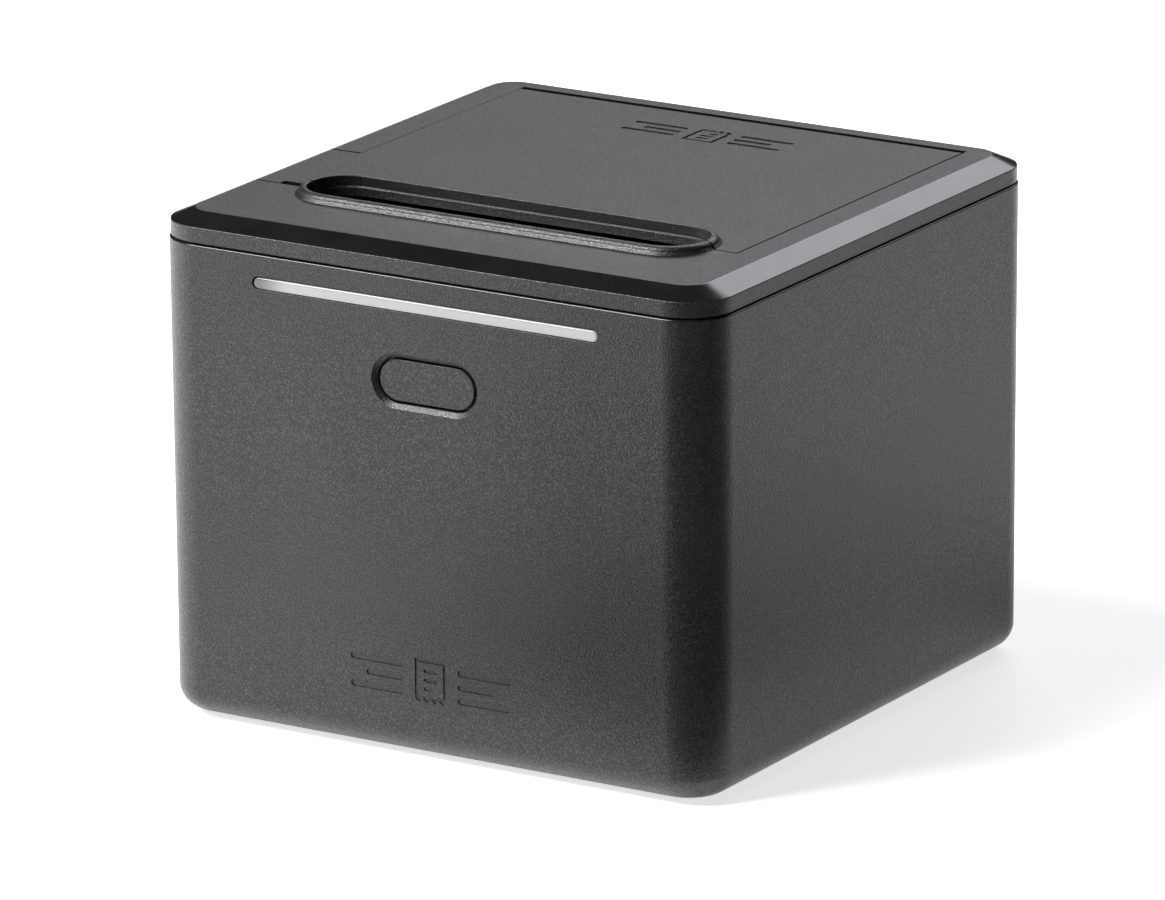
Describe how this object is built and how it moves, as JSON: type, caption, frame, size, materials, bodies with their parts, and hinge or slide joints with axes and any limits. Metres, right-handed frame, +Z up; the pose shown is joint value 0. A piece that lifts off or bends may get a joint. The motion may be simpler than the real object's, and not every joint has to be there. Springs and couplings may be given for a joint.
{
  "type": "receipt printer",
  "caption": "Cube-shaped desktop receipt printer with a chamfered lid, raised paper slot, hinged top cover with a side pull tab, front light bar and feed button.",
  "frame": {"origin": "on the table under the middle of the case", "axes": "+X to the printer's right seen from the front, -Y the front with the button and the light bar, +Z up"},
  "size_m": [0.14, 0.1423, 0.1157],
  "materials": {
    "case_plastic": "fine spark grain, satin black moulding with a smooth chamfer",
    "cover_plastic": "fine spark grain, satin black moulding",
    "button_plastic": "fine grain, black",
    "inner_plastic": "moulded black plastic",
    "light_guide": "milky translucent polycarbonate",
    "gear_plastic": "natural acetal",
    "rubber": "matt black rubber",
    "steel": "ground steel",
    "zinc_plate": "zinc-plated sheet steel",
    "aluminium": "extruded aluminium",
    "ceramic": "glazed ceramic substrate",
    "circuit_board": "green solder mask",
    "brass": "turned brass"
  },
  "bodies": {
    "root": {"body_shell": "case_plastic", "top_bezel": "case_plastic", "light_bar": "light_guide", "base_plate": "inner_plastic", "foot_front_left": "rubber", "foot_front_right": "rubber", "foot_rear_left": "rubber", "foot_rear_right": "rubber", "base_screw_front_left": "steel", "base_screw_front_right": "steel", "base_screw_rear_left": "steel", "base_screw_rear_right": "steel", "hinge_pin_left": "steel", "hinge_pin_right": "steel", "led_board": "circuit_board", "button_board": "circuit_board", "tact_switch": "inner_plastic", "side_plate_left": "zinc_plate", "side_plate_right": "zinc_plate", "front_crossbar": "zinc_plate", "paper_bucket": "inner_plastic", "head_pivot_shaft": "steel", "head_spring_plate": "zinc_plate", "head_spring_left": "steel", "head_spring_right": "steel", "idler_shaft": "steel", "feed_motor": "zinc_plate", "cutter_gear_shaft": "steel", "cutter_motor": "zinc_plate", "cutter_frame": "zinc_plate", "cutter_bracket": "zinc_plate", "main_board": "circuit_board", "buzzer": "inner_plastic", "paper_sensor": "inner_plastic", "cover_switch": "inner_plastic", "usb_socket": "steel", "ethernet_socket": "steel", "drawer_socket": "steel", "power_socket": "inner_plastic"},
    "cover": {"paper_cover": "cover_plastic", "platen_holder": "inner_plastic", "fixed_blade": "steel", "platen_bush_left": "brass", "platen_bush_right": "brass"},
    "platen": {"platen_shaft": "steel", "platen_rubber": "rubber", "platen_gear": "gear_plastic"},
    "idler": {"idler_gear": "gear_plastic"},
    "feed_rotor": {"feed_pinion": "brass"},
    "cutter_blade": {"moving_blade": "steel", "blade_carrier": "inner_plastic"},
    "cutter_wheel": {"cutter_gear": "gear_plastic"},
    "cutter_rotor": {"cutter_pinion": "brass"},
    "head": {"print_head": "ceramic", "head_heat_sink": "aluminium"},
    "button": {"feed_button": "button_plastic"}
  },
  "joints": [
    {"name": "cover_hinge", "type": "hinge", "parent": "root", "child": "cover", "pos_m": [0, 0.055, 0.109], "axis": [-1, 0, 0], "range_deg": [0, 95]},
    {"name": "platen_spin", "type": "hinge", "parent": "cover", "child": "platen", "pos_m": [0, -0.03, 0.098], "axis": [1, 0, 0], "continuous": true},
    {"name": "idler_spin", "type": "hinge", "parent": "root", "child": "idler", "pos_m": [0.0506, -0.034, 0.07861], "axis": [1, 0, 0], "continuous": true},
    {"name": "feed_motor_spin", "type": "hinge", "parent": "root", "child": "feed_rotor", "pos_m": [0.0506, -0.04673, 0.06588], "axis": [1, 0, 0], "continuous": true},
    {"name": "blade_slide", "type": "slide", "parent": "root", "child": "cutter_blade", "axis": [0, 1, 0], "range_m": [0, 0.012]},
    {"name": "cutter_wheel_spin", "type": "hinge", "parent": "root", "child": "cutter_wheel", "pos_m": [-0.049, -0.049, 0.104], "axis": [0, 0, 1], "range_deg": [0, 172]},
    {"name": "cutter_motor_spin", "type": "hinge", "parent": "root", "child": "cutter_rotor", "pos_m": [-0.0572, -0.0379, 0.103], "axis": [0, 0, 1], "range_deg": [-619, 0]},
    {"name": "head_tilt", "type": "hinge", "parent": "root", "child": "head", "pos_m": [0, -0.03792, 0.08604], "axis": [1, 0, 0], "range_deg": [0, 3], "stiffness_Nm_per_rad": 2, "springref_deg": -2.86},
    {"name": "feed_button_press", "type": "slide", "parent": "root", "child": "button", "axis": [0, 1, 0], "range_m": [0, 0.0008], "stiffness_N_per_m": 300, "springref_m": -0.001}
  ],
  "couplings": [
    {"joint": "idler_spin", "follows": "platen_spin", "ratio": -0.375},
    {"joint": "feed_motor_spin", "follows": "platen_spin", "ratio": 1.5},
    {"joint": "cutter_wheel_spin", "follows": "blade_slide", "rad_per_m": 250},
    {"joint": "cutter_motor_spin", "follows": "blade_slide", "rad_per_m": -900}
  ]
}
